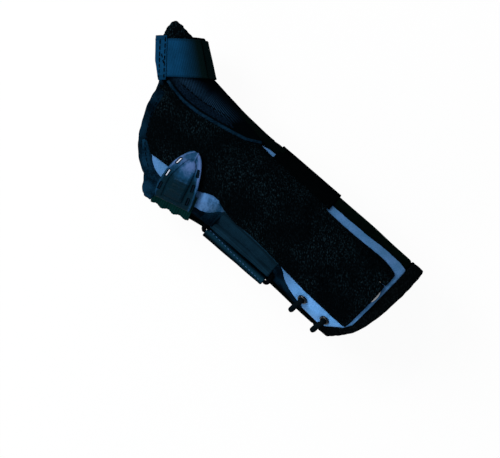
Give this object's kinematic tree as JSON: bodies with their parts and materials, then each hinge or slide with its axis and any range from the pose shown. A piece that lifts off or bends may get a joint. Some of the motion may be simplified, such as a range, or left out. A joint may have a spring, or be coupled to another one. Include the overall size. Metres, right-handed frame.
{
  "type": "wrist splint",
  "caption": "Wrist and thumb splint: padded fabric shell with aluminium stays, laced side, thumb sleeve and hook-and-loop straps, one of them through a wire ring.",
  "frame": {"origin": "wrist crease line dropped to the surface that the back of the splint lies on", "axes": "+X towards the fingers, +Y towards the little finger side, +Z out of the palm"},
  "size_m": [0.2379, 0.1046, 0.074],
  "materials": {
    "pile": "loop pile, matt, black with a teal cast",
    "laminate": "smooth foam laminate, light steel blue, satin",
    "back_fabric": "knitted face cloth, dark blue-green",
    "lining": "terry, matt",
    "hem": "pile cloth, matt black",
    "binding": "smooth folded tape, dark blue",
    "thumb_mesh": "ribbed spacer mesh",
    "piping": "covered cord, blue-grey",
    "strap": "woven webbing, navy with a teal cast",
    "elastic": "ribbed elastic, dark green",
    "tab": "moulded soft plastic, satin blue-grey",
    "thread": "stitching",
    "hook": "moulded hooks, black",
    "stay": "rolled sheet, satin",
    "ring": "round wire, gloss black",
    "eyelet": "pressed sheet, black",
    "lace": "braided, black"
  },
  "bodies": {
    "shell": {"palmar_base_panel": "laminate", "palmar_pile_panel": "pile", "dorsal_panel": "back_fabric", "inner_lining": "lining", "ulnar_flap": "lining", "proximal_hem": "hem", "palm_edge_binding": "binding", "dorsal_edge_binding": "binding", "thumb_mesh_panel": "thumb_mesh", "thumb_back_panel": "back_fabric", "thumb_tip_tongue": "thumb_mesh", "thumb_piping": "piping", "thumb_seam_tape": "piping", "dorsal_stay": "stay", "thumb_stay": "stay", "palmar_eyelets": "eyelet", "dorsal_eyelets": "eyelet", "lace": "lace", "ring_anchor_webbing": "strap", "wrist_strap": "strap", "palm_strap": "elastic", "thumb_strap": "strap"},
    "palmar_stay_bar": {"palmar_stay": "stay"},
    "palm_tab": {"palm_strap_end": "elastic", "pull_tab": "tab", "tab_stitches": "thread", "tab_hook_pad": "hook"},
    "thumb_tab": {"thumb_strap_end": "strap", "thumb_strap_hem": "strap", "thumb_hook_pad": "hook"},
    "wrist_tail": {"wrist_strap_end": "strap", "wrist_hook_pad": "hook"},
    "ring": {"wrist_ring": "ring"}
  },
  "joints": [
    {"name": "palmar_stay_slide", "type": "hinge", "parent": "shell", "child": "palmar_stay_bar", "pos_m": [-0.092, -0.0035, -0.7446], "axis": [0.0558, -0.9984, 0], "range_deg": [0, 12]},
    {"name": "palm_tab_peel", "type": "hinge", "parent": "shell", "child": "palm_tab", "pos_m": [0.03654, 0.04239, 0.04763], "axis": [-0.9407, -0.2789, 0.1929], "range_deg": [0, 120]},
    {"name": "thumb_strap_peel", "type": "hinge", "parent": "shell", "child": "thumb_tab", "pos_m": [0.08413, -0.04177, 0.04936], "axis": [0.7981, -0.5991, 0.0646], "range_deg": [0, 100]},
    {"name": "wrist_strap_peel", "type": "hinge", "parent": "shell", "child": "wrist_tail", "pos_m": [-0.0172, 0.04151, 0.03958], "axis": [0.9995, 0.0309, 0], "range_deg": [0, 125]},
    {"name": "wrist_ring_tilt", "type": "hinge", "parent": "shell", "child": "ring", "pos_m": [-0.0172, 0.03323, 0.05663], "axis": [0.9968, 0.033, -0.073], "range_deg": [-2.5, 2.5]}
  ]
}
